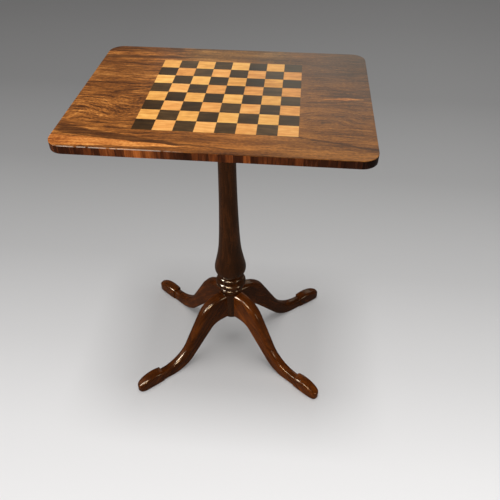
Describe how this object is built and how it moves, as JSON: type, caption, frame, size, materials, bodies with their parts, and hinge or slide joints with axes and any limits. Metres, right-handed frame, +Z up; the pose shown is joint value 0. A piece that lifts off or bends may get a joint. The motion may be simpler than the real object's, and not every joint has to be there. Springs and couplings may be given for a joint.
{
  "type": "chess table",
  "caption": "Tilt-top pedestal chess table: veneered top with an inlaid board on a turned pillar with cabriole legs; a sprung catch under the top frees it to tip upright.",
  "frame": {"origin": "on the floor under the pillar's axis, the centre of the box at its base", "axes": "+Z up, +X along the top's long side, +Y towards the edge that rises when the top tilts"},
  "size_m": [0.536, 0.406, 0.708],
  "materials": {
    "rosewood": "dark straight-grained rosewood sheet, satin polish",
    "light_inlay": "golden satinwood squares, satin polish",
    "dark_inlay": "ebonised rosewood squares, satin polish",
    "cross_banding": "cross-grained rosewood edge, satin polish",
    "groundwork": "plain mahogany ground, oiled",
    "polished_mahogany": "dark red-brown French polish, glossy",
    "bearer_wood": "plain mahogany, worn and waxed",
    "beech": "plain beech wedge, unfinished",
    "iron": "blackened wrought iron",
    "steel": "old bright steel screws",
    "spring_steel": "dark spring steel wire",
    "brass": "aged lacquered brass"
  },
  "bodies": {
    "base": {"pillar": "polished_mahogany", "tenon_wedge": "beech", "leg_front_left": "polished_mahogany", "leg_front_right": "polished_mahogany", "leg_back_right": "polished_mahogany", "leg_back_left": "polished_mahogany", "brace_plate": "iron", "brace_screws": "steel", "pivot_block": "bearer_wood", "keeper_plate": "brass", "keeper_screws": "brass", "pivot_pin_left": "iron", "pivot_pin_right": "iron"},
    "top": {"top_board": "groundwork", "edge_banding": "cross_banding", "top_veneer": "rosewood", "light_squares": "light_inlay", "dark_squares": "dark_inlay", "bearer_left": "bearer_wood", "bearer_right": "bearer_wood", "bearer_screws": "steel", "catch_plate": "brass", "catch_case": "brass", "catch_screws": "brass", "catch_spring": "spring_steel"},
    "catch": {"catch_bolt": "brass", "catch_knob": "brass"}
  },
  "joints": [
    {"name": "top_tilt", "type": "hinge", "parent": "base", "child": "top", "pos_m": [0, -0.044, 0.678], "axis": [1, 0, 0], "range_deg": [0, 90]},
    {"name": "catch_draw", "type": "slide", "parent": "top", "child": "catch", "axis": [0, 1, 0], "range_m": [0, 0.01], "stiffness_N_per_m": 300, "springref_m": -0.01, "deforming": ["catch_spring"]}
  ]
}
